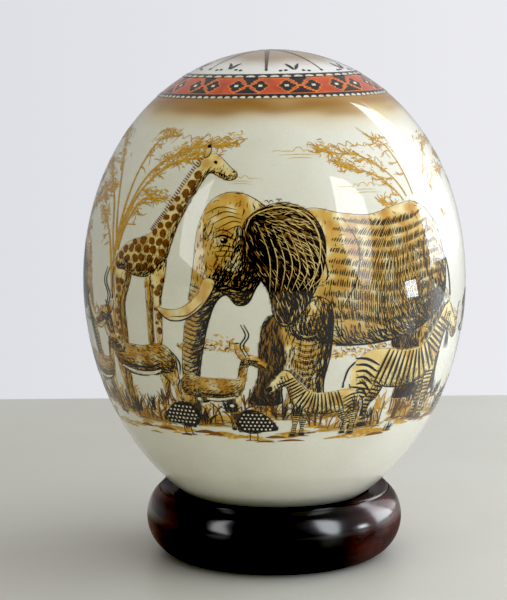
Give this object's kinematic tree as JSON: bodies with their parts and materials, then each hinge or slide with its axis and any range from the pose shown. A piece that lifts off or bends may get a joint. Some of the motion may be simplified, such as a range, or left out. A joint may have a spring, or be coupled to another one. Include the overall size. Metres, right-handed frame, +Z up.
{
  "type": "decorated ostrich egg on a stand",
  "caption": "Large varnished egg, decorated all round with an ink frieze below a beadwork band, standing upright in a low turned ring of dark lacquered wood.",
  "frame": {"origin": "centre of the stand's flat foot, on the egg's long axis", "axes": "+Z up along the egg's long axis; the side seen in the picture faces -Y; +X is to its right"},
  "size_m": [0.126, 0.126, 0.1671],
  "materials": {
    "varnished_shell": "ivory eggshell, drawn and painted in ink, under a clear gloss varnish",
    "lacquered_wood": "near-black red mahogany lacquer, glossy"
  },
  "bodies": {
    "root": {"egg": "varnished_shell", "stand_ring": "lacquered_wood"}
  },
  "joints": []
}
